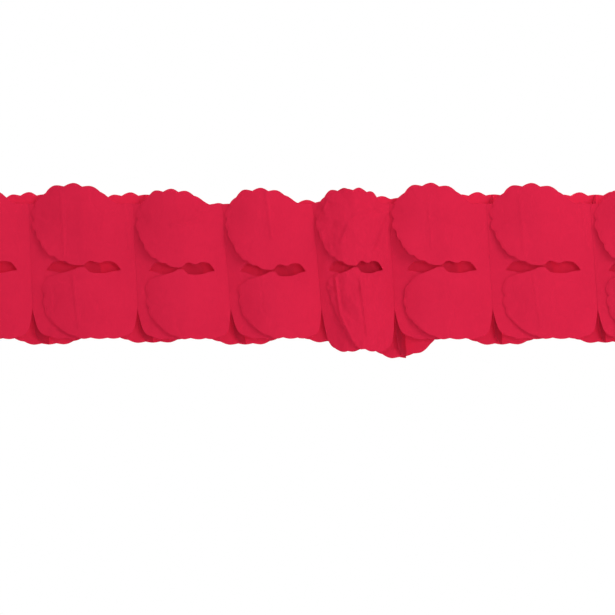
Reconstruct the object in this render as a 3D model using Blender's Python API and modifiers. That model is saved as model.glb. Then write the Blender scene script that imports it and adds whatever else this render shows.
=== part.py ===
# A paper garland: tissue sheets with scalloped lobes, glued in turn to make an open accordion.
# X runs along the garland, the front faces -Y and Z is up. The origin is on the left end card.

import math

import bmesh
import bpy

# Driving sizes, in metres
TISSUE = 0.0004  # solid thickness that stands for one ply of tissue
GLUE_GAP = 0.00035  # clearance that stands for a glue line
WALL_DEPTH = 0.036  # front crease of a seam to the glue line at its back
WALL_LEAN = 0.010  # shift of a seam's back along the garland
REACH = 0.088  # centre crease of a flat sheet to the tips of its upper lobes
FRONT_HEM_REACH = 0.0815  # the same for the lower lobe in front, which is shorter
BACK_SPLAY = 0.006  # how far a rear lobe's tip stands off the plane of the back
FOLD_RADIUS = 0.001  # half the thickness of the rolled fold under the glue line at mid unit
STRIP_PLACE = 0.5  # place of that glue line across the unit, from the left seam
TIP_MARGIN = 0.005  # left seam to the free edge of the front lobes
UNDER_TIP_MARGIN = 0.003  # the same for the ply beneath, which shows past it

LOBE_CROWN = 0.0785  # slot line to the top of an upper lobe
LOBE_HEM = 0.0625  # slot line to the bottom of a lower lobe
CROWN_NOTCH = 0.060  # slot line to the top of a crease
HEM_NOTCH = 0.035  # slot line to the notch at the bottom of a crease
CROWN_NOTCH_RUN = 0.053  # crease to the full height of an upper lobe
HEM_NOTCH_RUN = 0.017
CROWN_CORNER_RUN = 0.024
CROWN_CORNER_RISE = 0.020
HEM_CORNER_RUN = 0.036
HEM_CORNER_RISE = 0.024
BROAD_SLOT_CORNER_RUN = 0.036  # lower corner of a front upper lobe
BROAD_SLOT_CORNER_RISE = 0.030
LOWER_CORNER_SPREAD = 1.15  # run over rise of a front lower lobe's corner at the slot
SLOT_CORNER_RUN = 0.006  # corners of the rear lobes at the slot
SLOT_CORNER_RISE = 0.004
ROUND = 2.0  # fullness of a corner: 2 is an ellipse, and less is a slacker curve
CROWN_CORNER_FULLNESS = 1.4
HEM_CORNER_FULLNESS = 1.6
BROAD_SLOT_CORNER_FULLNESS = 1.6
SLOT_BASE = 0.0127  # crease to the start of the slot
SLOT_PINCH = 0.0515  # crease to the place where the two lobes nearly touch
SLOT_HALF_HEIGHT = 0.005
SLOT_RISE = 0.0025  # a front slot opens this far over the slot line
REAR_SLOT_DROP = 0.005  # the rear lobes part this far under it
PINCH_HALF_HEIGHT = 0.0007
SCALLOP_DEPTH = 0.0020
SCALLOP_COUNT = 5

CARD_THICKNESS = 0.0006
CARD_DEPTH = 0.030
CARD_HEIGHT = 0.064
CARD_CORNER = 0.006
CARD_HOLE_RADIUS = 0.0015
CARD_HOLE_RISE = 0.024  # centre of the card to the centre of its hole

# Each unit has its own stretch. The shifts are added to LOBE_CROWN and LOBE_HEM, and what starts
# with seam belongs to the seam at the unit's left. A seam's tilt is its lean out of the vertical.
# Both ends of the garland are plain seams
FIRST = {"width": 0.0939, "bulge": 0.0035, "tip_lift": 0.0045, "slot_drop": 0.0,
         "crown_shift": 0.0, "hem_shift": 0.0, "lower_corner": 0.010,
         "seam_crown_shift": -0.0008, "seam_hem_shift": 0.0007, "seam_tilt_degrees": 2.9}
SECOND = {"width": 0.0822, "bulge": 0.0045, "tip_lift": 0.0055, "slot_drop": 0.0022,
          "crown_shift": -0.0054, "hem_shift": 0.0005, "lower_corner": 0.008,
          "seam_crown_shift": -0.0010, "seam_hem_shift": -0.0010, "seam_tilt_degrees": 3.2}
THIRD = {"width": 0.0813, "bulge": 0.0055, "tip_lift": 0.0060, "slot_drop": 0.0045,
         "crown_shift": -0.0048, "hem_shift": 0.0, "lower_corner": 0.010,
         "seam_crown_shift": -0.0110, "seam_hem_shift": 0.0007, "seam_tilt_degrees": 5.1}
FOURTH = {"width": 0.0668, "bulge": 0.0085, "tip_lift": 0.0045, "slot_drop": 0.0010,
          "crown_shift": -0.0050, "hem_shift": 0.0125, "lower_corner": 0.008,
          "seam_crown_shift": -0.0080, "seam_hem_shift": -0.0015, "seam_tilt_degrees": 4.9}
FIFTH = {"width": 0.0876, "bulge": 0.0045, "tip_lift": 0.0105, "slot_drop": 0.0,
         "crown_shift": 0.0, "hem_shift": 0.0005, "lower_corner": 0.022,
         "seam_crown_shift": -0.0045, "seam_hem_shift": 0.0130, "seam_tilt_degrees": 2.6}
END_SEAM = {"seam_crown_shift": 0.0, "seam_hem_shift": 0.0}
UNITS = [FIFTH, FIRST, SECOND, THIRD, FOURTH, FIFTH, FIRST, SECOND]

# Sizes that follow
LAYER = TISSUE + GLUE_GAP
STACK = LAYER + 2 * FOLD_RADIUS
FRONT_Y = -WALL_DEPTH / 2
BACK_Y = WALL_DEPTH / 2
FIRST_SEAM = CARD_THICKNESS + GLUE_GAP + TISSUE / 2 - LAYER / 2
PUNCH_LENGTH = 4 * CARD_THICKNESS

# Mesh steps
FRONT_STEPS = 4 * SCALLOP_COUNT
REAR_STEPS = 3 * SCALLOP_COUNT
FRONT_NOTCH_PLACES = (0.0017, 0.0058)  # extra columns beside a crease, metres from it
REAR_NOTCH_PLACES = (0.0029,)
CLOSEST_COLUMNS = 0.001
CURVE_STEPS = 24
FOLD_STEPS = 4
CARD_CORNER_STEPS = 3
HOLE_SIDES = 12
WELD_DISTANCE = 0.000001

TISSUE_RED = (0.66, 0.017, 0.058, 1.0)
CARD_RED = (0.60, 0.020, 0.055, 1.0)
PAPER_ROUGHNESS = 0.9


def clear_scene():
    for obj in list(bpy.data.objects):
        bpy.data.objects.remove(obj, do_unlink=True)


def new_collection(name):
    collection = bpy.data.collections.new(name)
    bpy.context.scene.collection.children.link(collection)
    return collection


def paper_material(name, colour):
    material = bpy.data.materials.new(name)
    material.use_nodes = True
    shader = material.node_tree.nodes["Principled BSDF"]
    shader.inputs["Base Color"].default_value = colour
    shader.inputs["Roughness"].default_value = PAPER_ROUGHNESS
    shader.inputs["Metallic"].default_value = 0.0
    return material


def smooth(value):
    value = min(max(value, 0.0), 1.0)
    return value * value * (3 - 2 * value)


def corner_drop(distance, run, rise, fullness):
    """Height lost at a distance from a lobe's end, where its corner has this run and rise."""
    if distance >= run:
        return 0.0
    left = 1 - max(distance, 0.0) / run
    return rise * (1 - (1 - left ** fullness) ** (1 / fullness))


def scallop_bite(place, reach):
    wave = 1 - abs(math.sin(math.pi * SCALLOP_COUNT * place / reach))
    return SCALLOP_DEPTH * wave * smooth(place / HEM_NOTCH_RUN)


def crown_height(place, height):
    """Top outline of a flat sheet, measured up from the slot line."""
    notch = (height - CROWN_NOTCH) * (1 - smooth(place / CROWN_NOTCH_RUN))
    corner = corner_drop(REACH - place, CROWN_CORNER_RUN, CROWN_CORNER_RISE,
                         CROWN_CORNER_FULLNESS)
    return height - notch - corner - scallop_bite(place, REACH)


def hem_depth(place, reach, depth):
    """Bottom outline of a flat sheet, measured down from the slot line."""
    notch = corner_drop(place, HEM_NOTCH_RUN, depth - HEM_NOTCH, ROUND)
    corner = corner_drop(reach - place, HEM_CORNER_RUN, HEM_CORNER_RISE, HEM_CORNER_FULLNESS)
    return depth - notch - corner - scallop_bite(place, reach)


def slot_half_height(place):
    """Half the slot's opening between its base and the pinch, and at the pinch beyond it."""
    if place <= SLOT_BASE:
        return 0.0
    if place >= SLOT_PINCH:
        return PINCH_HALF_HEIGHT
    across = (place - SLOT_BASE) / (SLOT_PINCH - SLOT_BASE)
    return PINCH_HALF_HEIGHT * across + SLOT_HALF_HEIGHT * math.sin(math.pi * across)


def slot_level(place, rise):
    return rise * smooth(place / SLOT_PINCH)


def roof_point(left, unit, across, stand_off):
    """Plan point of a unit's front, stand_off towards the viewer from its innermost ply."""
    slope = -unit["bulge"] * math.pi * math.cos(math.pi * across)
    size = math.hypot(unit["width"], slope)
    x = left + across * unit["width"] + stand_off * slope / size
    y = FRONT_Y - unit["bulge"] * math.sin(math.pi * across) - stand_off * unit["width"] / size
    return x, y


def top_ply_stand_off(unit, across):
    if across > STRIP_PLACE:
        return STACK * smooth((1 - across) / (1 - STRIP_PLACE))
    past_strip = smooth((STRIP_PLACE - across) / STRIP_PLACE)
    return STACK + (unit["tip_lift"] - STACK) * past_strip


def right_sheet_front(left, unit):
    """From the right seam over the whole unit to the free edge near the left seam."""
    stop = TIP_MARGIN / unit["width"]
    points = []
    for step in range(CURVE_STEPS + 1):
        across = 1 + (stop - 1) * step / CURVE_STEPS
        x, y = roof_point(left, unit, across, top_ply_stand_off(unit, across))
        points.append((x - LAYER / 2 * across, y))
    return points, []


def left_sheet_front(left, unit):
    """From the left seam to the glue line, round the fold and back under the top ply."""
    points = []
    for step in range(CURVE_STEPS):
        across = STRIP_PLACE * step / CURVE_STEPS
        x, y = roof_point(left, unit, across, 0.0)
        points.append((x + LAYER / 2 * (1 - across), y))
    fold_start = len(points)
    slope = -unit["bulge"] * math.pi * math.cos(math.pi * STRIP_PLACE)
    size = math.hypot(unit["width"], slope)
    along = (unit["width"] / size, slope / size)
    for step in range(FOLD_STEPS + 1):
        turn = math.pi * step / FOLD_STEPS
        stand_off = FOLD_RADIUS * (1 - math.cos(turn))
        x, y = roof_point(left, unit, STRIP_PLACE, stand_off)
        reach = FOLD_RADIUS * math.sin(turn)
        points.append((x + reach * along[0], y + reach * along[1]))
    fold_end = len(points) - 1
    stop = UNDER_TIP_MARGIN / unit["width"]
    for step in range(1, CURVE_STEPS + 1):
        across = STRIP_PLACE + (stop - STRIP_PLACE) * step / CURVE_STEPS
        stand_off = top_ply_stand_off(unit, across) - LAYER
        points.append(roof_point(left, unit, across, stand_off))
    return points, list(range(fold_start, fold_end + 1))


def rear_route(seam, side, lean):
    """From a seam's front crease back along the wall, then out to the tip of the rear lobes."""
    start = seam + side * LAYER / 2
    corner = (start + lean, BACK_Y)
    wall = math.hypot(lean, WALL_DEPTH)
    spread = REACH - wall
    drop = -side * BACK_SPLAY
    tip = (corner[0] + side * math.sqrt(spread ** 2 - drop ** 2), BACK_Y + drop)
    return [(start, FRONT_Y), corner, tip], [1]


def fractions_along(points):
    lengths = [0.0]
    for first, second in zip(points, points[1:]):
        lengths.append(lengths[-1] + math.dist(first, second))
    return [length / lengths[-1] for length in lengths]


def point_along(points, fractions, wanted):
    for index in range(1, len(points)):
        if wanted <= fractions[index] or index == len(points) - 1:
            span = fractions[index] - fractions[index - 1]
            share = min(max((wanted - fractions[index - 1]) / span, 0.0), 1.0)
            first = points[index - 1]
            second = points[index]
            return (first[0] + (second[0] - first[0]) * share,
                    first[1] + (second[1] - first[1]) * share)


def seam_places():
    places = [FIRST_SEAM]
    for unit in UNITS:
        places.append(places[-1] + unit["width"])
    return places


def tilt_at(x):
    """Lean of the garland at x, from one seam's tilt to the next and none at either end."""
    seams = seam_places()
    tilts = [0.0] + [math.tan(math.radians(unit["seam_tilt_degrees"])) for unit in UNITS[1:]] + [0.0]
    for index in range(len(UNITS)):
        if seams[index] <= x <= seams[index + 1]:
            share = smooth((x - seams[index]) / UNITS[index]["width"])
            return tilts[index] + (tilts[index + 1] - tilts[index]) * share
    return 0.0


def stations(bend_places, reach, steps, notch_places):
    """Places of a lobe's mesh columns. Up to the slot they are the same for both lobes."""
    kept = bend_places + [SLOT_BASE]
    web = [REACH * step / steps for step in range(1, steps)]
    lobe = [reach * step / steps for step in range(1, steps + 1)]
    wanted = list(notch_places)
    wanted += [place for place in web if place < SLOT_BASE]
    wanted += [place for place in lobe if place > SLOT_BASE]
    free = [place for place in wanted
            if all(abs(place - fixed) > CLOSEST_COLUMNS for fixed in kept)]
    return sorted(kept + free)


def lobe_columns(route, bends, reach, steps, notch_places, heights):
    """Each column's plan point, with the lobe's lower and upper height there."""
    fractions = fractions_along(route)
    bend_places = [fractions[index] * REACH for index in bends]
    columns = []
    for place in stations(bend_places, reach, steps, notch_places):
        columns.append((point_along(route, fractions, place / REACH), heights(place)))
    return columns


def front_lobes(route_and_bends, unit):
    """Columns of the upper and the lower lobe that a sheet has in front."""
    crown = LOBE_CROWN + unit["crown_shift"]
    hem = LOBE_HEM + unit["hem_shift"]
    corner_run = unit["lower_corner"] * LOWER_CORNER_SPREAD
    rise = SLOT_RISE - unit["slot_drop"]

    def upper(place):
        corner = corner_drop(REACH - place, BROAD_SLOT_CORNER_RUN, BROAD_SLOT_CORNER_RISE,
                             BROAD_SLOT_CORNER_FULLNESS)
        low = slot_level(place, rise) + slot_half_height(place) + corner
        return low, crown_height(place, crown)

    def lower(place):
        corner = corner_drop(FRONT_HEM_REACH - place, corner_run, unit["lower_corner"], ROUND)
        high = slot_level(place, rise) - slot_half_height(place) - corner
        return -hem_depth(place, FRONT_HEM_REACH, hem), high

    steps = (FRONT_STEPS, FRONT_NOTCH_PLACES)
    return (lobe_columns(*route_and_bends, REACH, *steps, upper),
            lobe_columns(*route_and_bends, FRONT_HEM_REACH, *steps, lower))


def rear_lobes(route_and_bends, seam_owner):
    """Columns of the upper and the lower lobe that a sheet has behind."""
    crown = LOBE_CROWN + seam_owner["seam_crown_shift"]
    hem = LOBE_HEM + seam_owner["seam_hem_shift"]

    def half_slit(place):
        slit = PINCH_HALF_HEIGHT if place > SLOT_BASE else 0.0
        return slit + corner_drop(REACH - place, SLOT_CORNER_RUN, SLOT_CORNER_RISE, ROUND)

    def upper(place):
        low = slot_level(place, -REAR_SLOT_DROP) + half_slit(place)
        return low, crown_height(place, crown)

    def lower(place):
        high = slot_level(place, -REAR_SLOT_DROP) - half_slit(place)
        return -hem_depth(place, REACH, hem), high

    steps = (REAR_STEPS, REAR_NOTCH_PLACES)
    return (lobe_columns(*route_and_bends, REACH, *steps, upper),
            lobe_columns(*route_and_bends, REACH, *steps, lower))


def add_lobe_strip(mesh, columns):
    """One grid, one cell high, laid along the columns between their lower and upper heights."""
    made = bmesh.ops.create_grid(mesh, x_segments=len(columns) - 1, y_segments=1, size=0.5)
    for vertex in made["verts"]:
        (x, y), (low, high) = columns[round((vertex.co.x + 0.5) * (len(columns) - 1))]
        z = high if vertex.co.y > 0 else low
        vertex.co = (x - z * tilt_at(x), y, z)


def make_sheet(name, front, rear, unit, seam_owner, collection):
    crease = front[0][0]
    front_upper, front_lower = front_lobes(front, unit)
    rear_upper, rear_lower = rear_lobes(rear, seam_owner)
    mesh = bmesh.new()
    add_lobe_strip(mesh, rear_upper[::-1] + [(crease, (0.0, CROWN_NOTCH))] + front_upper)
    add_lobe_strip(mesh, rear_lower[::-1] + [(crease, (-HEM_NOTCH, 0.0))] + front_lower)
    bmesh.ops.remove_doubles(mesh, verts=mesh.verts, dist=WELD_DISTANCE)
    data = bpy.data.meshes.new(name)
    mesh.to_mesh(data)
    mesh.free()
    sheet = bpy.data.objects.new(name, data)
    collection.objects.link(sheet)
    ply = sheet.modifiers.new("ply", "SOLIDIFY")
    ply.thickness = TISSUE
    ply.offset = 0.0
    ply.use_even_offset = True
    data.materials.append(paper_material(name, TISSUE_RED))


def make_card(name, centre_x, collection, cutters):
    mesh = bmesh.new()
    bmesh.ops.create_cube(mesh, size=1.0)
    bmesh.ops.scale(mesh, vec=(CARD_THICKNESS, CARD_DEPTH, CARD_HEIGHT), verts=mesh.verts)
    corners = [edge for edge in mesh.edges
               if abs(edge.verts[0].co.x - edge.verts[1].co.x) > CARD_THICKNESS / 2]
    bmesh.ops.bevel(mesh, geom=corners, offset=CARD_CORNER, segments=CARD_CORNER_STEPS,
                    affect="EDGES", profile=0.5)
    data = bpy.data.meshes.new(name)
    mesh.to_mesh(data)
    mesh.free()
    card = bpy.data.objects.new(name, data)
    card.location.x = centre_x
    collection.objects.link(card)
    data.materials.append(paper_material(name, CARD_RED))

    punch_mesh = bmesh.new()
    bmesh.ops.create_cone(punch_mesh, cap_ends=True, segments=HOLE_SIDES,
                          radius1=CARD_HOLE_RADIUS, radius2=CARD_HOLE_RADIUS,
                          depth=PUNCH_LENGTH)
    punch_data = bpy.data.meshes.new(name + "_punch")
    punch_mesh.to_mesh(punch_data)
    punch_mesh.free()
    punch = bpy.data.objects.new(name + "_punch", punch_data)
    punch.location = (centre_x, 0.0, CARD_HOLE_RISE)
    punch.rotation_euler.y = math.pi / 2
    punch.hide_render = True
    punch.display_type = "WIRE"
    cutters.objects.link(punch)
    hole = card.modifiers.new("hole", "BOOLEAN")
    hole.operation = "DIFFERENCE"
    hole.solver = "EXACT"
    hole.object = punch


def make_garland():
    collection = new_collection("paper_garland")
    cutters = new_collection("paper_garland_cutters")
    make_card("left_end_card", CARD_THICKNESS / 2, collection, cutters)
    seam = FIRST_SEAM
    last = len(UNITS) - 1
    for index, unit in enumerate(UNITS):
        label = f"unit_{index + 1}"
        next_seam = seam + unit["width"]
        left_lean = 0.0 if index == 0 else WALL_LEAN
        right_lean = 0.0 if index == last else WALL_LEAN
        left_seam = END_SEAM if index == 0 else unit
        right_seam = END_SEAM if index == last else UNITS[index + 1]
        make_sheet(f"{label}_left_sheet", left_sheet_front(seam, unit),
                   rear_route(seam, 1, left_lean), unit, left_seam, collection)
        make_sheet(f"{label}_right_sheet", right_sheet_front(seam, unit),
                   rear_route(next_seam, -1, right_lean), unit, right_seam, collection)
        seam = next_seam
    right_card_x = seam - LAYER / 2 + TISSUE / 2 + GLUE_GAP + CARD_THICKNESS / 2
    make_card("right_end_card", right_card_x, collection, cutters)


clear_scene()
make_garland()
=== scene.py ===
import math

import bpy
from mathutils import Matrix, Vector


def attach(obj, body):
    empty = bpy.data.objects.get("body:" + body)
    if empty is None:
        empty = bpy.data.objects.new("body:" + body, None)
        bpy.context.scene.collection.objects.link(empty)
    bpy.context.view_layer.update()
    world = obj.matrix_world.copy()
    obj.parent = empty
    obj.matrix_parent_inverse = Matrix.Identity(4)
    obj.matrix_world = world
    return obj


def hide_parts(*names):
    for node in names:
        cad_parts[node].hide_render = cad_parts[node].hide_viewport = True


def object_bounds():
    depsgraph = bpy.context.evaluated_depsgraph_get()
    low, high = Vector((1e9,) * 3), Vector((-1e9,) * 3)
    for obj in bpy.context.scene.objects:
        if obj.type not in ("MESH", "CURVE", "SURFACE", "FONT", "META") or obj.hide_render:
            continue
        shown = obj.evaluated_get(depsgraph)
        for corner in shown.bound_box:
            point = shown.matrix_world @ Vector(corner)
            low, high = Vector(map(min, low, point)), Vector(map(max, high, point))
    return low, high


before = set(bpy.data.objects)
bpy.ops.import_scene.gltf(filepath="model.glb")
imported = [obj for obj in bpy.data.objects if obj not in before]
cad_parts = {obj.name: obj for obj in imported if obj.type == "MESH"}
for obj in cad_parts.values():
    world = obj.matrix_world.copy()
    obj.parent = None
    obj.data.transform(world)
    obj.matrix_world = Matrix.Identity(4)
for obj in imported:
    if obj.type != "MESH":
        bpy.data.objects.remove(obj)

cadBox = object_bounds()

# The garland's sizes, in metres where they aren't shares or counts. X runs along it, the front
# faces -Y, Z is up
garland = {
    "wallDepth": 0.036,       # front crease of a seam to its back glue line
    "wallLean": 0.010,        # shift of the back glue line along the garland
    "reach": 0.088,           # centre crease of a flat sheet to the tips of its lobes
    "backSplay": 0.006,       # rear tips stand this far off the back plane
    "foldRadius": 0.001,      # rolled fold under the glue line at mid unit
    "stripPlace": 0.5,        # that glue line, as a share of the unit's width
    "tipMargin": 0.005,       # left seam to the free edge of the top ply
    "underTipMargin": 0.003,  # the same for the ply beneath
    "ply": 0.0002,            # spacing of two glued plies
    "tissue": 0.00012,        # thickness of the paper as it is shown
    "lowerLift": 0.06,        # a lower lobe's lift as a share of an upper one's
    "pressFrom": 0.016,       # from this height up an upper lobe is pressed towards what is behind
    "pressTo": 0.052,         # and from here on by pressShare of what it can be
    "pressShare": 0.85,
    "firstSeam": 0.000775,    # x of the seam at the left end
    "curveSteps": 48,
    "foldSteps": 8,
    "seed": 3.0,              # of the crumple
    "weld": 0.000002,         # points closer than this are joined
    "sharpAngle": 50.0,       # degrees, above which an edge is shaded sharp
}
stackHeight = garland["ply"] + 2 * garland["foldRadius"]

# Each unit is stretched by hand, so each has its own sizes. The shifts are added to the crown and
# hem of the die-cut outline. What starts with seam, and rearHemSlant, is for the seam at the
# unit's left, whose tilt is in degrees. A crease is a chain of (share across the unit, height
# over the slot)
unitOne = {
    "width": 0.0939, "bulge": 0.0035, "tipLift": 0.0045, "slotDrop": 0.0,
    "crownShift": 0.0, "hemShift": 0.0, "lowerCorner": 0.010,
    "seamCrownShift": -0.0008, "seamHemShift": 0.0007, "seamTilt": 2.9, "crinkle": 0.0008,
    "crinkleSize": 0.020, "creaseDepth": 0.0005,
    "hemSlant": 0.0, "rearHemSlant": 0.0, "crownSkew": 0.0,
    "creases": (((0.32, 0.068), (0.33, 0.012)), ((0.40, -0.006), (0.44, -0.052)),
                ((0.90, 0.066), (0.94, 0.046), (0.95, 0.020))),
}
unitTwo = {
    "width": 0.0822, "bulge": 0.0045, "tipLift": 0.0055, "slotDrop": 0.0022,
    "crownShift": -0.0054, "hemShift": 0.0005, "lowerCorner": 0.008,
    "seamCrownShift": -0.0010, "seamHemShift": -0.0010, "seamTilt": 3.2, "crinkle": 0.0008,
    "crinkleSize": 0.020, "creaseDepth": 0.0009,
    "hemSlant": 0.0, "rearHemSlant": 0.0, "crownSkew": 0.0,
    "creases": (((0.58, 0.046), (0.74, 0.053), (0.97, 0.057)),
                ((0.42, 0.040), (0.60, 0.043), (0.72, 0.046))),
}
unitThree = {
    "width": 0.0813, "bulge": 0.0055, "tipLift": 0.0060, "slotDrop": 0.0045,
    "crownShift": -0.0048, "hemShift": 0.0, "lowerCorner": 0.010,
    "seamCrownShift": -0.0110, "seamHemShift": 0.0007, "seamTilt": 5.1, "crinkle": 0.0007,
    "crinkleSize": 0.022, "creaseDepth": 0.0006,
    "hemSlant": 0.0, "rearHemSlant": 0.0, "crownSkew": 0.0,
    "creases": (((0.50, 0.070), (0.52, 0.030)),),
}
unitFour = {
    "width": 0.0668, "bulge": 0.0085, "tipLift": 0.0045, "slotDrop": 0.0010,
    "crownShift": -0.0050, "hemShift": 0.0125, "lowerCorner": 0.008,
    "seamCrownShift": -0.0080, "seamHemShift": -0.0015, "seamTilt": 4.9, "crinkle": 0.0024,
    "crinkleSize": 0.013, "creaseDepth": 0.0013,
    "hemSlant": 0.020, "rearHemSlant": 0.0, "crownSkew": 0.15,
    "creases": (((0.33, 0.024), (0.40, 0.034), (0.50, 0.045), (0.62, 0.051), (0.80, 0.055),
                 (0.97, 0.053)), ((0.94, 0.050), (0.84, 0.034), (0.74, 0.018)),
                ((0.14, 0.055), (0.20, 0.062), (0.30, 0.060)),
                ((0.22, -0.008), (0.24, -0.040), (0.40, -0.066)),
                ((0.55, -0.010), (0.60, -0.058))),
}
unitFive = {
    "width": 0.0876, "bulge": 0.0045, "tipLift": 0.0105, "slotDrop": 0.0,
    "crownShift": 0.0, "hemShift": 0.0005, "lowerCorner": 0.022,
    "seamCrownShift": -0.0045, "seamHemShift": 0.0130, "seamTilt": 2.6, "crinkle": 0.0004,
    "crinkleSize": 0.022, "creaseDepth": 0.0005,
    "hemSlant": 0.0, "rearHemSlant": 0.034, "crownSkew": 0.0,
    "creases": (((0.40, 0.066), (0.41, 0.020)),),
}
units = [unitFive, unitOne, unitTwo, unitThree, unitFour, unitFive, unitOne, unitTwo]
# Both end seams keep the die-cut outline's own crown and hem
endSeam = {"seamCrownShift": 0.0, "seamHemShift": 0.0, "rearHemSlant": 0.0}
frontY = -garland["wallDepth"] / 2
backY = garland["wallDepth"] / 2


# Camera: a long lens a little below the garland, framed as the photograph is
cameraSetup = {
    "lens": 135.0,
    "frameWidth": 0.5553,   # what the frame spans at the garland, metres
    "aimX": 0.3363,
    "aimZ": -0.0314,
    "elevation": -7.0,      # degrees, below the garland
    "clipEnd": 60.0,
}


def buildCamera():
    data = bpy.data.cameras.new("photoCamera")
    data.lens = cameraSetup["lens"]
    data.clip_end = cameraSetup["clipEnd"]
    camera = bpy.data.objects.new("photoCamera", data)
    bpy.context.scene.collection.objects.link(camera)
    distance = cameraSetup["frameWidth"] * data.lens / data.sensor_width
    tilt = math.radians(cameraSetup["elevation"])
    camera.location = (cameraSetup["aimX"], -distance * math.cos(tilt),
                       cameraSetup["aimZ"] + distance * math.sin(tilt))
    camera.rotation_euler = (math.pi / 2 - tilt, 0.0, 0.0)
    bpy.context.scene.camera = camera
    print("camera stands", round(distance, 3), "m away")


# Light: an even white room, a soft lamp in front that shines into the slots, and large ones from
# the right, from above and from behind
lightSetup = {
    "roomStrength": 0.34,
    "seenStrength": 1.0,    # the room as the camera sees it
    "lamps": (              # name, power, size and place
        ("nearLamp", 14.6, 0.30, (0.50, -2.2, -0.26)),
        ("sideLamp", 8.2, 0.7, (1.50, -1.3, 0.7)),
        ("topLamp", 5.0, 1.0, (0.75, -0.75, 1.6)),
        ("backLamp", 10.0, 1.5, (0.0, 1.9, 1.5)),
    ),
    "floorDrop": 0.42,      # the garland hangs this far above the floor
    "floorSize": 14.0,
    "floorColour": (0.86, 0.86, 0.86, 1.0),
    "floorRoughness": 0.9,
}


def feed(tree, socket, value):
    if isinstance(value, bpy.types.NodeSocket):
        tree.links.new(value, socket)
    else:
        socket.default_value = value


def calc(tree, operation, *values):
    node = tree.nodes.new("ShaderNodeMath")
    node.operation = operation
    for socket, value in zip(node.inputs, values):
        feed(tree, socket, value)
    return node.outputs[0]


def whiteToCamera(tree):
    # one for camera, glossy and transmission rays, nought for all others
    path = tree.nodes.new("ShaderNodeLightPath")
    seen = calc(tree, "MAXIMUM", path.outputs["Is Camera Ray"], path.outputs["Is Glossy Ray"])
    seen = calc(tree, "MAXIMUM", seen, path.outputs["Is Transmission Ray"])
    return seen


def buildRoom():
    world = bpy.data.worlds.new("paleRoom")
    bpy.context.scene.world = world
    world.use_nodes = True
    tree = world.node_tree
    tree.nodes.clear()
    output = tree.nodes.new("ShaderNodeOutputWorld")
    mix = tree.nodes.new("ShaderNodeMixShader")
    tree.links.new(whiteToCamera(tree), mix.inputs[0])
    for place, strength in ((1, "roomStrength"), (2, "seenStrength")):
        room = tree.nodes.new("ShaderNodeBackground")
        room.inputs["Color"].default_value = (1.0, 1.0, 1.0, 1.0)
        room.inputs["Strength"].default_value = lightSetup[strength]
        tree.links.new(room.outputs[0], mix.inputs[place])
    tree.links.new(mix.outputs[0], output.inputs["Surface"])
    print("room is white to the camera")


def addLamp(name, power, size, place, aim):
    data = bpy.data.lights.new(name, "AREA")
    data.energy = power
    data.size = size
    lamp = bpy.data.objects.new(name, data)
    bpy.context.scene.collection.objects.link(lamp)
    lamp.location = place
    direction = Vector(aim) - Vector(place)
    lamp.rotation_euler = direction.to_track_quat("-Z", "Y").to_euler()


def buildLights():
    middle = (cameraSetup["aimX"], 0.0, 0.0)
    for name, power, size, place in lightSetup["lamps"]:
        addLamp(name, power, size, place, middle)
    print(len(lightSetup["lamps"]), "lamps aimed")


def buildFloor():
    half = lightSetup["floorSize"] / 2
    level = cadBox[0][2] - lightSetup["floorDrop"]
    data = bpy.data.meshes.new("paleFloor")
    corners = [(-half, -half, level), (half, -half, level), (half, half, level),
               (-half, half, level)]
    data.from_pydata(corners, [], [(0, 1, 2, 3)])
    floor = bpy.data.objects.new("paleFloor", data)
    bpy.context.scene.collection.objects.link(floor)
    material = bpy.data.materials.new("paleFloorPaint")
    material.use_nodes = True
    shader = material.node_tree.nodes["Principled BSDF"]
    shader.inputs["Base Color"].default_value = lightSetup["floorColour"]
    shader.inputs["Roughness"].default_value = lightSetup["floorRoughness"]
    data.materials.append(material)
    print("floor laid", round(lightSetup["floorDrop"], 2), "m below")


# Plan routes: where a sheet runs, seen from above
def smooth(value):
    value = min(max(value, 0.0), 1.0)
    return value * value * (3 - 2 * value)


def roofPoint(left, unit, across, standOff):
    slope = -unit["bulge"] * math.pi * math.cos(math.pi * across)
    size = math.hypot(unit["width"], slope)
    x = left + across * unit["width"] + standOff * slope / size
    y = frontY - unit["bulge"] * math.sin(math.pi * across) - standOff * unit["width"] / size
    return x, y


def liftAt(unit, across):
    # how far the free lobes have sprung off the glued stack
    strip = garland["stripPlace"]
    return (unit["tipLift"] - stackHeight) * smooth((strip - across) / strip)


def topPlyStandOff(unit, across):
    strip = garland["stripPlace"]
    glued = stackHeight * smooth((1 - across) / (1 - strip)) if across > strip else stackHeight
    return glued + liftAt(unit, across)


def springAt(unit, across):
    # how far a free lobe can be pressed back towards the sheet behind it
    strip = garland["stripPlace"]
    return ((topPlyStandOff(unit, across) - 2 * garland["ply"])
            * smooth((strip - across) / strip))


def rightSheetFront(left, unit):
    # right seam to the free edge by the left seam
    stop = garland["tipMargin"] / unit["width"]
    points = []
    for step in range(garland["curveSteps"] + 1):
        across = 1 + (stop - 1) * step / garland["curveSteps"]
        x, y = roofPoint(left, unit, across, topPlyStandOff(unit, across))
        points.append((x - garland["ply"] / 2 * across, y, springAt(unit, across)))
    return points


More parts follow.
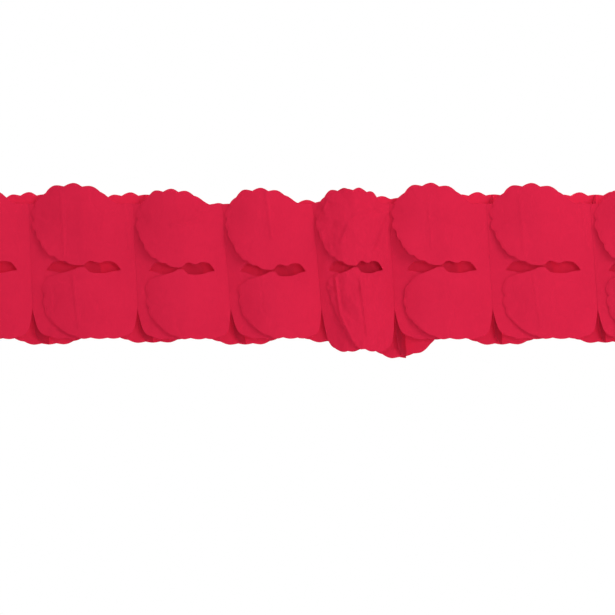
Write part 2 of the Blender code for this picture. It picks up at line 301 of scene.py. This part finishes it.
def leftSheetFront(left, unit):
    # left seam to the glue line, round the fold, and back under the top ply
    strip = garland["stripPlace"]
    radius = garland["foldRadius"]
    points = []
    for step in range(garland["curveSteps"]):
        across = strip * step / garland["curveSteps"]
        x, y = roofPoint(left, unit, across, 0.0)
        points.append((x + garland["ply"] / 2 * (1 - across), y, 0.0))
    slope = -unit["bulge"] * math.pi * math.cos(math.pi * strip)
    size = math.hypot(unit["width"], slope)
    for step in range(garland["foldSteps"] + 1):
        turn = math.pi * step / garland["foldSteps"]
        x, y = roofPoint(left, unit, strip, radius * (1 - math.cos(turn)))
        out = radius * math.sin(turn)
        points.append((x + out * unit["width"] / size, y + out * slope / size, 0.0))
    stop = garland["underTipMargin"] / unit["width"]
    for step in range(1, garland["curveSteps"] + 1):
        across = strip + (stop - strip) * step / garland["curveSteps"]
        x, y = roofPoint(left, unit, across, topPlyStandOff(unit, across) - garland["ply"])
        points.append((x, y, springAt(unit, across)))
    return points


def rearRoute(seam, side, lean):
    # front crease back along the wall, then out to the rear tip
    start = seam + side * garland["ply"] / 2
    corner = (start + lean, backY)
    spread = garland["reach"] - math.hypot(lean, garland["wallDepth"])
    drop = -side * garland["backSplay"]
    tip = (corner[0] + side * math.sqrt(spread ** 2 - drop ** 2), backY + drop)
    return [(start, frontY, 0.0), (*corner, 0.0), (*tip, 0.0)]


def routeLength(points):
    return sum(math.dist(first[:2], second[:2]) for first, second in zip(points, points[1:]))


# The die-cut outline. Lines are (share of the way from crease to tip, share of a height)
outline = {
    "notch": 0.060,
    "hemNotch": 0.035,
    "crown": 0.0785,
    "hem": 0.0625,
    "crownLine": ((0.0, 0.02), (0.12, 0.05), (0.19, 0.14), (0.24, 0.32), (0.29, 0.56),
                  (0.34, 0.74), (0.40, 0.84), (0.46, 0.89), (0.52, 0.95), (0.57, 1.0),
                  (0.63, 0.98), (0.69, 0.93), (0.78, 0.89), (1.0, 0.86)),
    "crownCorner": ((0.0, 0.0), (0.76, 0.0), (0.81, 0.06), (0.86, 0.20), (0.91, 0.40),
                    (0.95, 0.60), (0.98, 0.80), (1.0, 1.0)),
    "crownCornerRise": 0.022,
    "rearCornerRise": 0.012,  # the same for a rear lobe, whose corner is fuller
    "hemLine": ((0.0, 0.0), (0.012, 0.24), (0.03, 0.50), (0.055, 0.71), (0.09, 0.83),
                (0.13, 0.90), (0.20, 0.96), (0.30, 1.0),
                (0.58, 1.0), (0.68, 0.93), (0.78, 0.78), (0.87, 0.58), (0.94, 0.33),
                (0.98, 0.12), (1.0, 0.0)),
    "lowerReach": 0.926,      # a front lower lobe's reach as a share of an upper one's
    "slotTopHeight": 0.0078,
    "slotTop": ((0.0, 0.0), (0.144, 0.0), (0.155, 0.20), (0.175, 0.47), (0.20, 0.78),
                (0.235, 0.95), (0.285, 1.0), (0.32, 0.93), (0.356, 0.78), (0.40, 0.87),
                (0.45, 1.0), (0.475, 0.90), (0.50, 0.68), (0.53, 0.50), (0.587, 0.49),
                (0.65, 0.53), (1.0, 0.53)),
    "slotDepth": 0.0080,      # the lower edge's line is measured down from slotRise
    "slotRise": 0.0032,
    "slotBottom": ((0.0, 0.4), (0.144, 0.4), (0.16, 0.44), (0.19, 0.49), (0.23, 0.56),
                   (0.28, 0.70), (0.34, 0.79), (0.40, 0.78), (0.46, 0.72), (0.49, 0.58),
                   (0.515, 0.36), (0.55, 0.12),
                   (0.59, 0.14), (0.645, 0.36), (0.74, 0.60), (0.84, 0.72), (1.0, 0.76)),
    "rearSlotDrop": 0.0050,   # the rear lobes part this far under the front ones
    "rearSlotHalf": 0.0003,
    "broadCorner": ((0.0, 0.0), (0.60, 0.0), (0.67, 0.03), (0.74, 0.11), (0.80, 0.18),
                    (0.85, 0.27), (0.90, 0.43), (0.94, 0.65), (0.97, 0.83), (1.0, 1.0)),
    "smallCorner": ((0.0, 0.0), (0.93, 0.0), (0.97, 0.15), (0.99, 0.5), (1.0, 1.0)),
    "lowerCorner": ((0.0, 0.0), (0.66, 0.0), (0.78, 0.07), (0.88, 0.24), (0.95, 0.50),
                    (0.985, 0.75), (1.0, 1.0)),
    "broadCornerRise": 0.033,
    "smallCornerRise": 0.004,
    "scallopDepth": 0.0020,
    "scallopCount": 5.55,
    "scallopPhase": 0.225,
    "hemScallop": 0.55,       # depth of the hem's scallops as a share of the crown's
    "tipScallop": 0.0115,     # length of the finer scallops at the tips
    "tipDraw": 0.026,         # they draw a tip in by this share of the way
    "tipPower": 12.0,         # and fade this fast towards the crease
    "cornerScallop": 0.011,   # length of the scallops up an upper lobe's lower corner
    "cornerFrom": 0.55,       # they start here and grow with this slope
    "cornerSlope": 6.0,
    "creaseWidth": 0.0026,
    "creasePower": 1.5,
    "skewGain": 4.0,          # share x (1 - share) peaks at a quarter, so this makes it one
    "slantPower": 3.5,
    "slotFrom": 0.1441,       # the web beside the crease ends here
    "slotSlope": 1.8,
    "fadeSlope": 5.0,         # scallops and crumple fade out towards the crease
    "fadeSoftness": 0.2,
    "lowerSlope": 1.3,
    "lowerSoftness": 0.3,
    "leastLobe": 0.003,       # a lower lobe is never lower than this
    "crumpleDetail": 2.0,
    "crumpleGain": 2.0,       # the noise runs half a unit each way, so this makes it one
    "columns": 200,
    "rows": 37,
}


def profile(tree, name, value):
    points = outline[name]
    node = tree.nodes.new("ShaderNodeFloatCurve")
    node.label = name
    curve = node.mapping.curves[0]
    curve.points[0].location = points[0]
    curve.points[-1].location = points[-1]
    for x, y in points[1:-1]:
        curve.points.new(x, y)
    node.mapping.update()
    feed(tree, node.inputs["Value"], value)
    return node.outputs[0]


def scaledProfile(tree, name, value, size):
    return calc(tree, "MULTIPLY", profile(tree, name, value), size)


def scallopWave(tree, turns):
    # sharp peaks, one for each pi, which leave round scallops where they are cut from an edge
    return calc(tree, "SUBTRACT", 1.0, calc(tree, "ABSOLUTE", calc(tree, "SINE", turns)))


def easeUp(tree, share, slope, softness):
    # a straight rise that rounds off at one
    return calc(tree, "SMOOTH_MIN", calc(tree, "MULTIPLY", share, slope), 1.0, softness)


def remap(tree, value, start, stop, low=0.0, high=1.0, easing="LINEAR"):
    node = tree.nodes.new("ShaderNodeMapRange")
    node.interpolation_type = easing
    tree.links.new(value, node.inputs["Value"])
    for name, number in (("From Min", start), ("From Max", stop), ("To Min", low),
                         ("To Max", high)):
        node.inputs[name].default_value = number
    return node.outputs["Result"]


def choose(tree, switch, whenFalse, whenTrue):
    node = tree.nodes.new("GeometryNodeSwitch")
    node.input_type = "FLOAT"
    feed(tree, node.inputs[0], switch)
    feed(tree, node.inputs[1], whenFalse)
    feed(tree, node.inputs[2], whenTrue)
    return node.outputs[0]


def blendValue(tree, share, low, high):
    span = calc(tree, "SUBTRACT", high, low)
    return calc(tree, "MULTIPLY_ADD", span, share, low)


def combine(tree, x, y, z):
    node = tree.nodes.new("ShaderNodeCombineXYZ")
    for socket, value in zip(node.inputs, (x, y, z)):
        feed(tree, socket, value)
    return node.outputs[0]


def separate(tree, vector):
    # its x and y
    node = tree.nodes.new("ShaderNodeSeparateXYZ")
    feed(tree, node.inputs[0], vector)
    return node.outputs[0], node.outputs[1]


# Each is set for every sheet, by sheetValues and makeSheet
sheetInputs = (
    "Rear Length", "Front Length", "Crown", "Hem", "Rear Crown", "Rear Hem", "Slot Drop",
    "Hem Slant", "Rear Hem Slant", "Crown Skew", "Notch", "Hem Notch", "Lower Corner",
    "Scallop Depth", "Scallop Count", "Crinkle Depth", "Crinkle Size", "Crease Depth", "Seed",
)


def noise(tree, vector, seed, size, detail):
    node = tree.nodes.new("ShaderNodeTexNoise")
    node.noise_dimensions = "4D"
    feed(tree, node.inputs["Vector"], vector)
    feed(tree, node.inputs["W"], seed)
    feed(tree, node.inputs["Scale"], calc(tree, "DIVIDE", 1.0, size))
    node.inputs["Detail"].default_value = detail
    return calc(tree, "SUBTRACT", node.outputs["Fac"], 0.5)


def namedValue(tree, name):
    node = tree.nodes.new("GeometryNodeInputNamedAttribute")
    node.data_type = "FLOAT"
    node.inputs["Name"].default_value = name
    return node.outputs[0]


def sampleRoute(tree, route, length, value):
    node = tree.nodes.new("GeometryNodeSampleCurve")
    node.mode = "LENGTH"
    node.data_type = "FLOAT"
    tree.links.new(route, node.inputs["Curves"])
    tree.links.new(value, node.inputs["Value"])
    feed(tree, node.inputs["Length"], length)
    return node.outputs["Position"], node.outputs["Value"]


def buildSheetTree():
    tree = bpy.data.node_groups.new("foldedTissueSheet", "GeometryNodeTree")
    tree.is_modifier = True
    face = tree.interface
    face.new_socket("Route", in_out="INPUT", socket_type="NodeSocketGeometry")
    sockets = {}
    kinds = [(name, "NodeSocketFloat") for name in sheetInputs]
    for name, kind in (*kinds, ("Paper", "NodeSocketMaterial"), ("Creases", "NodeSocketObject")):
        sockets[name] = face.new_socket(name, in_out="INPUT", socket_type=kind).identifier
    face.new_socket("Sheet", in_out="OUTPUT", socket_type="NodeSocketGeometry")
    source = tree.nodes.new("NodeGroupInput")
    ask = {item.name: item for item in source.outputs}

    route = tree.nodes.new("GeometryNodeMeshToCurve")
    tree.links.new(ask["Route"], route.inputs["Mesh"])

    lean = namedValue(tree, "tilt")
    sprung = namedValue(tree, "lift")
    creaseLines = tree.nodes.new("GeometryNodeObjectInfo")
    tree.links.new(ask["Creases"], creaseLines.inputs["Object"])

    position = tree.nodes.new("GeometryNodeInputPosition").outputs[0]
    # the grids are one by one and centred: side runs from -1 at the rear tip to 1 at the front
    flatX, flatY = separate(tree, position)
    side = calc(tree, "MULTIPLY", flatX, 2.0)
    share = calc(tree, "ABSOLUTE", side)
    inFront = calc(tree, "GREATER_THAN", side, 0.0)
    up = calc(tree, "ADD", flatY, 0.5)

    crown = choose(tree, inFront, ask["Rear Crown"], ask["Crown"])
    hem = choose(tree, inFront, ask["Rear Hem"], ask["Hem"])
    # a skew moves the crown's peak towards the crease
    middle = calc(tree, "MULTIPLY", share, calc(tree, "SUBTRACT", 1.0, share))
    skew = choose(tree, inFront, 0.0, ask["Crown Skew"])
    skew = calc(tree, "MULTIPLY", skew, outline["skewGain"])
    skewed = calc(tree, "MULTIPLY_ADD", middle, skew, share)
    crownLine = profile(tree, "crownLine", skewed)
    cornerRise = choose(tree, inFront, outline["rearCornerRise"], outline["crownCornerRise"])
    crownCorner = scaledProfile(tree, "crownCorner", share, cornerRise)
    hemLine = profile(tree, "hemLine", share)
    turns = calc(tree, "MULTIPLY_ADD", share, ask["Scallop Count"], outline["scallopPhase"])
    wave = scallopWave(tree, calc(tree, "MULTIPLY", turns, math.pi))
    fade = easeUp(tree, share, outline["fadeSlope"], outline["fadeSoftness"])
    bite = calc(tree, "MULTIPLY", calc(tree, "MULTIPLY", wave, fade), ask["Scallop Depth"])
    top = blendValue(tree, crownLine, ask["Notch"], crown)
    top = calc(tree, "SUBTRACT", calc(tree, "SUBTRACT", top, bite), crownCorner)
    bottom = blendValue(tree, hemLine, ask["Hem Notch"], hem)
    slant = choose(tree, inFront, ask["Rear Hem Slant"], ask["Hem Slant"])
    slant = calc(tree, "MULTIPLY", slant, calc(tree, "POWER", share, outline["slantPower"]))
    hemBite = calc(tree, "MULTIPLY", bite, outline["hemScallop"])
    bottom = calc(tree, "ADD", calc(tree, "SUBTRACT", hemBite, bottom), slant)

    # the slot: a blunt end by the crease, two scallops over it, a pinch, and broad corners
    broad = scaledProfile(tree, "broadCorner", share, outline["broadCornerRise"])
    small = scaledProfile(tree, "smallCorner", share, outline["smallCornerRise"])
    lower = scaledProfile(tree, "lowerCorner", share, ask["Lower Corner"])
    pastWeb = calc(tree, "GREATER_THAN", share, outline["slotFrom"])
    slotRamp = calc(tree, "MINIMUM", calc(tree, "MULTIPLY", share, outline["slotSlope"]), 1.0)
    dropped = calc(tree, "MULTIPLY", slotRamp, ask["Slot Drop"])
    upperEdge = scaledProfile(tree, "slotTop", share, outline["slotTopHeight"])
    lowerEdge = scaledProfile(tree, "slotBottom", share, outline["slotDepth"])
    lowerEdge = calc(tree, "SUBTRACT", outline["slotRise"], lowerEdge)
    cornerTurns = calc(tree, "MULTIPLY", share, ask["Scallop Count"])
    climbed = calc(tree, "DIVIDE", broad, outline["cornerScallop"])
    cornerTurns = calc(tree, "ADD", cornerTurns, climbed)
    cornerWave = scallopWave(tree, calc(tree, "MULTIPLY", cornerTurns, math.pi))
    onCorner = calc(tree, "SUBTRACT", share, outline["cornerFrom"])
    onCorner = calc(tree, "MULTIPLY", onCorner, outline["cornerSlope"])
    onCorner = calc(tree, "MINIMUM", calc(tree, "MAXIMUM", onCorner, 0.0), 1.0)
    cornerBite = calc(tree, "MULTIPLY", calc(tree, "MULTIPLY", cornerWave, onCorner),
                      ask["Scallop Depth"])
    upperEdge = calc(tree, "ADD", calc(tree, "ADD", upperEdge, broad), cornerBite)
    upperEdge = calc(tree, "MULTIPLY", calc(tree, "SUBTRACT", upperEdge, dropped), pastWeb)
    lowerEdge = calc(tree, "SUBTRACT", calc(tree, "SUBTRACT", lowerEdge, lower), dropped)
    lowerEdge = calc(tree, "MULTIPLY", lowerEdge, pastWeb)
    rearLine = calc(tree, "MULTIPLY", slotRamp, -outline["rearSlotDrop"])
    rearHalf = calc(tree, "ADD", small, outline["rearSlotHalf"])
    rearUpper = calc(tree, "MULTIPLY", calc(tree, "ADD", rearLine, rearHalf), pastWeb)
    rearLower = calc(tree, "MULTIPLY", calc(tree, "SUBTRACT", rearLine, rearHalf), pastWeb)
    slotTop = choose(tree, inFront, rearUpper, upperEdge)
    slotBottom = choose(tree, inFront, rearLower, lowerEdge)
    shallowest = calc(tree, "SUBTRACT", slotBottom, outline["leastLobe"])
    bottom = calc(tree, "MINIMUM", bottom, shallowest)

    lobes = tree.nodes.new("GeometryNodeJoinGeometry")
    inner = easeUp(tree, share, outline["lowerSlope"], outline["lowerSoftness"])
    shorter = blendValue(tree, inner, 1.0, outline["lowerReach"])
    shorter = choose(tree, inFront, 1.0, shorter)
    for low, high, reach, lowerLobe in ((bottom, slotBottom, shorter, True),
                                        (slotTop, top, 1.0, False)):
        grid = tree.nodes.new("GeometryNodeMeshGrid")
        grid.inputs["Size X"].default_value = 1.0
        grid.inputs["Size Y"].default_value = 1.0
        grid.inputs["Vertices X"].default_value = outline["columns"] + 1
        grid.inputs["Vertices Y"].default_value = outline["rows"] + 1
        height = blendValue(tree, up, low, high)
        # scalloped tips: the ends of the lobes are drawn in by a wave up their height
        tipTurns = calc(tree, "MULTIPLY", height, math.pi / outline["tipScallop"])
        nearTip = calc(tree, "POWER", share, outline["tipPower"])
        drawn = calc(tree, "MULTIPLY", scallopWave(tree, tipTurns), nearTip)
        drawn = calc(tree, "MULTIPLY", drawn, outline["tipDraw"])
        along = calc(tree, "MULTIPLY", calc(tree, "SUBTRACT", share, drawn), reach)
        rearPlace = calc(tree, "MULTIPLY", calc(tree, "SUBTRACT", 1.0, along),
                         ask["Rear Length"])
        frontPlace = calc(tree, "MULTIPLY_ADD", along, ask["Front Length"], ask["Rear Length"])
        place = choose(tree, inFront, rearPlace, frontPlace)
        position, tilt = sampleRoute(tree, route.outputs[0], place, lean)
        lift = sampleRoute(tree, route.outputs[0], place, sprung)[1]
        x, y = separate(tree, position)
        x = calc(tree, "SUBTRACT", x, calc(tree, "MULTIPLY", height, tilt))
        pressed = 1 - garland["lowerLift"] if lowerLobe else remap(
            tree, height, garland["pressFrom"], garland["pressTo"], 0.0, garland["pressShare"],
            "SMOOTHSTEP")
        y = calc(tree, "MULTIPLY_ADD", lift, pressed, y)
        flat = combine(tree, x, 0.0, height)
        crumple = noise(tree, flat, ask["Seed"], ask["Crinkle Size"],
                        outline["crumpleDetail"])
        crumple = calc(tree, "MULTIPLY", crumple, ask["Crinkle Depth"])
        crumple = calc(tree, "MULTIPLY", crumple,
                       calc(tree, "MULTIPLY", fade, outline["crumpleGain"]))
        near = tree.nodes.new("GeometryNodeProximity")
        near.target_element = "EDGES"
        tree.links.new(creaseLines.outputs["Geometry"], near.inputs[0])
        feed(tree, near.inputs["Sample Position"], flat)
        ridge = calc(tree, "DIVIDE", near.outputs["Distance"], outline["creaseWidth"])
        ridge = calc(tree, "MAXIMUM", calc(tree, "SUBTRACT", 1.0, ridge), 0.0)
        ridge = calc(tree, "POWER", ridge, outline["creasePower"])
        ridge = calc(tree, "MULTIPLY", ridge, ask["Crease Depth"])
        outward = calc(tree, "SUBTRACT", calc(tree, "SUBTRACT", y, crumple), ridge)
        setPlace = tree.nodes.new("GeometryNodeSetPosition")
        tree.links.new(grid.outputs["Mesh"], setPlace.inputs["Geometry"])
        feed(tree, setPlace.inputs["Position"], combine(tree, x, outward, height))
        tree.links.new(setPlace.outputs[0], lobes.inputs[0])

    weld = tree.nodes.new("GeometryNodeMergeByDistance")
    weld.inputs["Distance"].default_value = garland["weld"]
    tree.links.new(lobes.outputs[0], weld.inputs["Geometry"])
    shade = tree.nodes.new("GeometryNodeSetShadeSmooth")
    tree.links.new(weld.outputs[0], shade.inputs["Geometry"])
    real = tree.nodes.new("GeometryNodeRealizeInstances")
    tree.links.new(shade.outputs[0], real.inputs["Geometry"])
    paint = tree.nodes.new("GeometryNodeSetMaterial")
    tree.links.new(real.outputs[0], paint.inputs["Geometry"])
    tree.links.new(ask["Paper"], paint.inputs["Material"])
    result = tree.nodes.new("NodeGroupOutput")
    tree.links.new(paint.outputs[0], result.inputs[0])
    print("sheet tree built with", len(sockets), "inputs")
    return tree, sockets


# Tissue: thin, matt, dyed through. Two faces make a sheet, so each face's colours are the root
# of what the sheet shows. The single plies behind pass more light than the glued front ones
tissueFinish = {
    "red": (0.775, 0.0195, 0.069, 1.0),
    "deepRed": (0.715, 0.0168, 0.062, 1.0),
    "rearPaintedLightRed": (0.930, 0.0300, 0.100, 1.0),
    # painted light: a paler red for the plies behind, standing in for light on the rear lobes and
    # in the slots
    "glowRed": (0.97, 0.160, 0.300, 1.0),
    "frontThrough": 0.15,   # share of light that passes a face, in front
    "rearThrough": 0.28,    # and behind
    "throughFrom": -0.014,  # the two meet between these depths
    "throughTo": 0.004,
    "roughness": 0.85,
    "gloss": 0.05,
    "cloudSize": 0.035,     # soft patches of deeper red
    "cloudDetail": 3.0,
    "cloudShare": 0.55,
    "fibreSize": 0.0012,    # fibres run up the sheet, so they are stretched along Z
    "fibreDetail": 4.0,
    "fibreStretch": (1.0, 1.0, 0.35),
    "fibreShare": 0.45,
    "fibreBump": 0.00010,
    "fibreStrength": 0.5,
    "deepUpTo": 0.30,       # deepRed up to this tone, red from the next
    "redFrom": 0.62,
    "creaseSize": 0.030,    # a net of faint creases, bent by a warp
    "creaseSlope": 9.0,
    "creaseBump": 0.0005,
    "creaseStrength": 0.35,
    "warpScale": 40.0,
    "warp": (0.02, 0.02, 0.02),
}


def shaderNoise(tree, vector, size, detail, stretch=(1.0, 1.0, 1.0)):
    mapping = tree.nodes.new("ShaderNodeMapping")
    mapping.inputs["Scale"].default_value = stretch
    feed(tree, mapping.inputs["Vector"], vector)
    node = tree.nodes.new("ShaderNodeTexNoise")
    node.inputs["Scale"].default_value = 1.0 / size
    node.inputs["Detail"].default_value = detail
    tree.links.new(mapping.outputs[0], node.inputs["Vector"])
    return node.outputs["Fac"]


def colourRamp(tree, value, stops):
    node = tree.nodes.new("ShaderNodeValToRGB")
    for element, (place, colour) in zip(node.color_ramp.elements, stops):
        element.position = place
        element.color = colour
    tree.links.new(value, node.inputs["Fac"])
    return node.outputs[0]


def addBump(tree, height, strength, distance):
    node = tree.nodes.new("ShaderNodeBump")
    node.inputs["Strength"].default_value = strength
    node.inputs["Distance"].default_value = distance
    tree.links.new(height, node.inputs["Height"])
    return node


def buildTissue():
    material = bpy.data.materials.new("redTissue")
    material.use_nodes = True
    tree = material.node_tree
    tree.nodes.clear()
    output = tree.nodes.new("ShaderNodeOutputMaterial")
    place = tree.nodes.new("ShaderNodeTexCoord").outputs["Object"]
    cloud = shaderNoise(tree, place, tissueFinish["cloudSize"], tissueFinish["cloudDetail"])
    fibre = shaderNoise(tree, place, tissueFinish["fibreSize"], tissueFinish["fibreDetail"],
                        tissueFinish["fibreStretch"])
    cloud = calc(tree, "MULTIPLY", cloud, tissueFinish["cloudShare"])
    tone = calc(tree, "MULTIPLY_ADD", fibre, tissueFinish["fibreShare"], cloud)
    colour = colourRamp(tree, tone, ((tissueFinish["deepUpTo"], tissueFinish["deepRed"]),
                                     (tissueFinish["redFrom"], tissueFinish["red"])))

    folds = tree.nodes.new("ShaderNodeTexVoronoi")
    folds.feature = "DISTANCE_TO_EDGE"
    folds.inputs["Scale"].default_value = 1.0 / tissueFinish["creaseSize"]
    warp = tree.nodes.new("ShaderNodeVectorMath")
    warp.operation = "MULTIPLY_ADD"
    tree.links.new(place, warp.inputs[2])
    spread = tree.nodes.new("ShaderNodeTexNoise")
    spread.inputs["Scale"].default_value = tissueFinish["warpScale"]
    tree.links.new(place, spread.inputs["Vector"])
    tree.links.new(spread.outputs["Color"], warp.inputs[0])
    warp.inputs[1].default_value = tissueFinish["warp"]
    tree.links.new(warp.outputs[0], folds.inputs["Vector"])
    line = calc(tree, "MULTIPLY", folds.outputs["Distance"], tissueFinish["creaseSlope"])
    line = calc(tree, "MINIMUM", line, 1.0)
    creases = addBump(tree, line, tissueFinish["creaseStrength"], tissueFinish["creaseBump"])
    grain = addBump(tree, fibre, tissueFinish["fibreStrength"], tissueFinish["fibreBump"])
    tree.links.new(creases.outputs[0], grain.inputs["Normal"])

    # painted light: plies further back get a paler red base colour, standing in for the light that
    # reaches the rear lobes and the slots; they also pass more light
    depth = separate(tree, place)[1]
    depths = (tissueFinish["throughFrom"], tissueFinish["throughTo"])
    paintedLightTint = tree.nodes.new("ShaderNodeMix")
    paintedLightTint.data_type = "RGBA"
    tree.links.new(remap(tree, depth, *depths), paintedLightTint.inputs["Factor"])
    tree.links.new(colour, paintedLightTint.inputs[6])   # 6 and 7 are its two colours
    paintedLightTint.inputs[7].default_value = tissueFinish["rearPaintedLightRed"]
    through = remap(tree, depth, *depths, tissueFinish["frontThrough"],
                    tissueFinish["rearThrough"])

    front = tree.nodes.new("ShaderNodeBsdfPrincipled")
    tree.links.new(paintedLightTint.outputs["Result"], front.inputs["Base Color"])
    front.inputs["Roughness"].default_value = tissueFinish["roughness"]
    front.inputs["Specular IOR Level"].default_value = tissueFinish["gloss"]
    tree.links.new(grain.outputs[0], front.inputs["Normal"])
    behind = tree.nodes.new("ShaderNodeBsdfTranslucent")
    behind.inputs["Color"].default_value = tissueFinish["glowRed"]
    mix = tree.nodes.new("ShaderNodeMixShader")
    tree.links.new(through, mix.inputs[0])
    tree.links.new(front.outputs[0], mix.inputs[1])
    tree.links.new(behind.outputs[0], mix.inputs[2])
    tree.links.new(mix.outputs[0], output.inputs["Surface"])
    print("tissue mixed")
    return material


# End cards: plain dyed board, a little duller than the tissue
cardFinish = {
    "colour": (0.55, 0.020, 0.055, 1.0),
    "paleColour": (0.62, 0.030, 0.070, 1.0),
    "colourUpTo": 0.35,
    "paleFrom": 0.65,
    "fibreSize": 0.0015,
    "fibreDetail": 5.0,
    "fibreStretch": (1.0, 1.0, 0.4),
    "fibreBump": 0.0001,
    "fibreStrength": 0.4,
    "roughness": 0.85,
    "gloss": 0.12,
}


def buildCard():
    material = bpy.data.materials.new("redCard")
    material.use_nodes = True
    tree = material.node_tree
    shader = tree.nodes["Principled BSDF"]
    place = tree.nodes.new("ShaderNodeTexCoord").outputs["Object"]
    fibre = shaderNoise(tree, place, cardFinish["fibreSize"], cardFinish["fibreDetail"],
                        cardFinish["fibreStretch"])
    colour = colourRamp(tree, fibre, ((cardFinish["colourUpTo"], cardFinish["colour"]),
                                      (cardFinish["paleFrom"], cardFinish["paleColour"])))
    tree.links.new(colour, shader.inputs["Base Color"])
    shader.inputs["Roughness"].default_value = cardFinish["roughness"]
    shader.inputs["Specular IOR Level"].default_value = cardFinish["gloss"]
    bump = addBump(tree, fibre, cardFinish["fibreStrength"], cardFinish["fibreBump"])
    tree.links.new(bump.outputs[0], shader.inputs["Normal"])
    print("card mixed")
    return material


# Lean of the garland at x: each seam's own, and none at either end
def tiltAt(x):
    left = garland["firstSeam"]
    for index, unit in enumerate(units):
        if x <= left + unit["width"]:
            leftTilt = 0.0 if index == 0 else unit["seamTilt"]
            rightTilt = 0.0 if index == len(units) - 1 else units[index + 1]["seamTilt"]
            share = smooth((x - left) / unit["width"])
            return math.tan(math.radians(leftTilt + (rightTilt - leftTilt) * share))
        left += unit["width"]
    return 0.0


def makeCreases(unit, left):
    points = []
    edges = []
    for chain in unit["creases"]:
        for step, (across, height) in enumerate(chain):
            if step > 0:
                edges.append((len(points) - 1, len(points)))
            x = left + across * unit["width"]
            points.append((x - height * tiltAt(x), 0.0, height))
    mesh = bpy.data.meshes.new("creaseLines")
    mesh.from_pydata(points, edges, [])
    lines = bpy.data.objects.new("creaseLines", mesh)
    bpy.context.scene.collection.objects.link(lines)
    return lines


def makeSheet(name, node, tree, sockets, front, rear, values):
    points = rear[::-1] + front[1:]
    host = bpy.data.meshes.new(name + "Route")
    host.from_pydata([(x, y, 0.0) for x, y, lift in points],
                     [(index, index + 1) for index in range(len(points) - 1)], [])
    tilt = host.attributes.new("tilt", "FLOAT", "POINT")
    tilt.data.foreach_set("value", [tiltAt(x) for x, y, lift in points])
    lifts = host.attributes.new("lift", "FLOAT", "POINT")
    lifts.data.foreach_set("value", [lift for x, y, lift in points])
    piece = bpy.data.objects.new(name + "Route", host)
    bpy.context.scene.collection.objects.link(piece)
    fold = piece.modifiers.new("fold", "NODES")
    fold.node_group = tree
    values["Rear Length"] = routeLength(rear)
    values["Front Length"] = routeLength(front)
    for label, value in values.items():
        fold[sockets[label]] = value
    ply = piece.modifiers.new("ply", "SOLIDIFY")
    ply.thickness = garland["tissue"]
    ply.offset = 0.0
    depsgraph = bpy.context.evaluated_depsgraph_get()
    mesh = bpy.data.meshes.new_from_object(piece.evaluated_get(depsgraph))
    bpy.data.objects.remove(piece, do_unlink=True)
    mesh.name = name
    mesh.set_sharp_from_angle(angle=math.radians(garland["sharpAngle"]))
    sheet = bpy.data.objects.new(name, mesh)
    bpy.context.scene.collection.objects.link(sheet)
    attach(sheet, "root")
    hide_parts(node)


def sheetValues(unit, seamOwner, rearSlant, creases, paper):
    return {
        "Crown": outline["crown"] + unit["crownShift"],
        "Hem": outline["hem"] + unit["hemShift"],
        "Rear Crown": outline["crown"] + seamOwner["seamCrownShift"],
        "Rear Hem": outline["hem"] + seamOwner["seamHemShift"],
        "Lower Corner": unit["lowerCorner"],
        "Slot Drop": unit["slotDrop"],
        "Hem Slant": unit["hemSlant"],
        "Rear Hem Slant": rearSlant,
        "Crown Skew": unit["crownSkew"],
        "Notch": outline["notch"],
        "Hem Notch": outline["hemNotch"],
        "Scallop Depth": outline["scallopDepth"],
        "Scallop Count": outline["scallopCount"],
        "Crinkle Depth": unit["crinkle"],
        "Crinkle Size": unit["crinkleSize"],
        "Crease Depth": unit["creaseDepth"],
        "Seed": garland["seed"],
        "Creases": creases,
        "Paper": paper,
    }


def buildGarland():
    tree, sockets = buildSheetTree()
    paper = buildTissue()
    card = buildCard()
    seam = garland["firstSeam"]
    last = len(units) - 1
    for index, unit in enumerate(units):
        leftSeam = endSeam if index == 0 else unit
        rightSeam = endSeam if index == last else units[index + 1]
        nextSeam = seam + unit["width"]
        label = f"unit_{index + 1}"
        leftLean = 0.0 if index == 0 else garland["wallLean"]
        rightLean = 0.0 if index == last else garland["wallLean"]
        creases = makeCreases(unit, seam)
        makeSheet("tissue" + str(index + 1) + "Left", label + "_left_sheet", tree, sockets,
                  leftSheetFront(seam, unit), rearRoute(seam, 1, leftLean),
                  sheetValues(unit, leftSeam, leftSeam["rearHemSlant"], creases, paper))
        makeSheet("tissue" + str(index + 1) + "Right", label + "_right_sheet", tree, sockets,
                  rightSheetFront(seam, unit), rearRoute(nextSeam, -1, rightLean),
                  sheetValues(unit, rightSeam, 0.0, creases, paper))
        bpy.data.objects.remove(creases, do_unlink=True)
        seam = nextSeam
        print("unit", index + 1, "folded")
    for node in ("left_end_card", "right_end_card"):
        for slot in bpy.data.objects[node].material_slots:
            slot.material = card
    print("end cards coloured")


buildCamera()
buildRoom()
buildLights()
buildFloor()
buildGarland()
bpy.context.scene.view_settings.view_transform = "Standard"
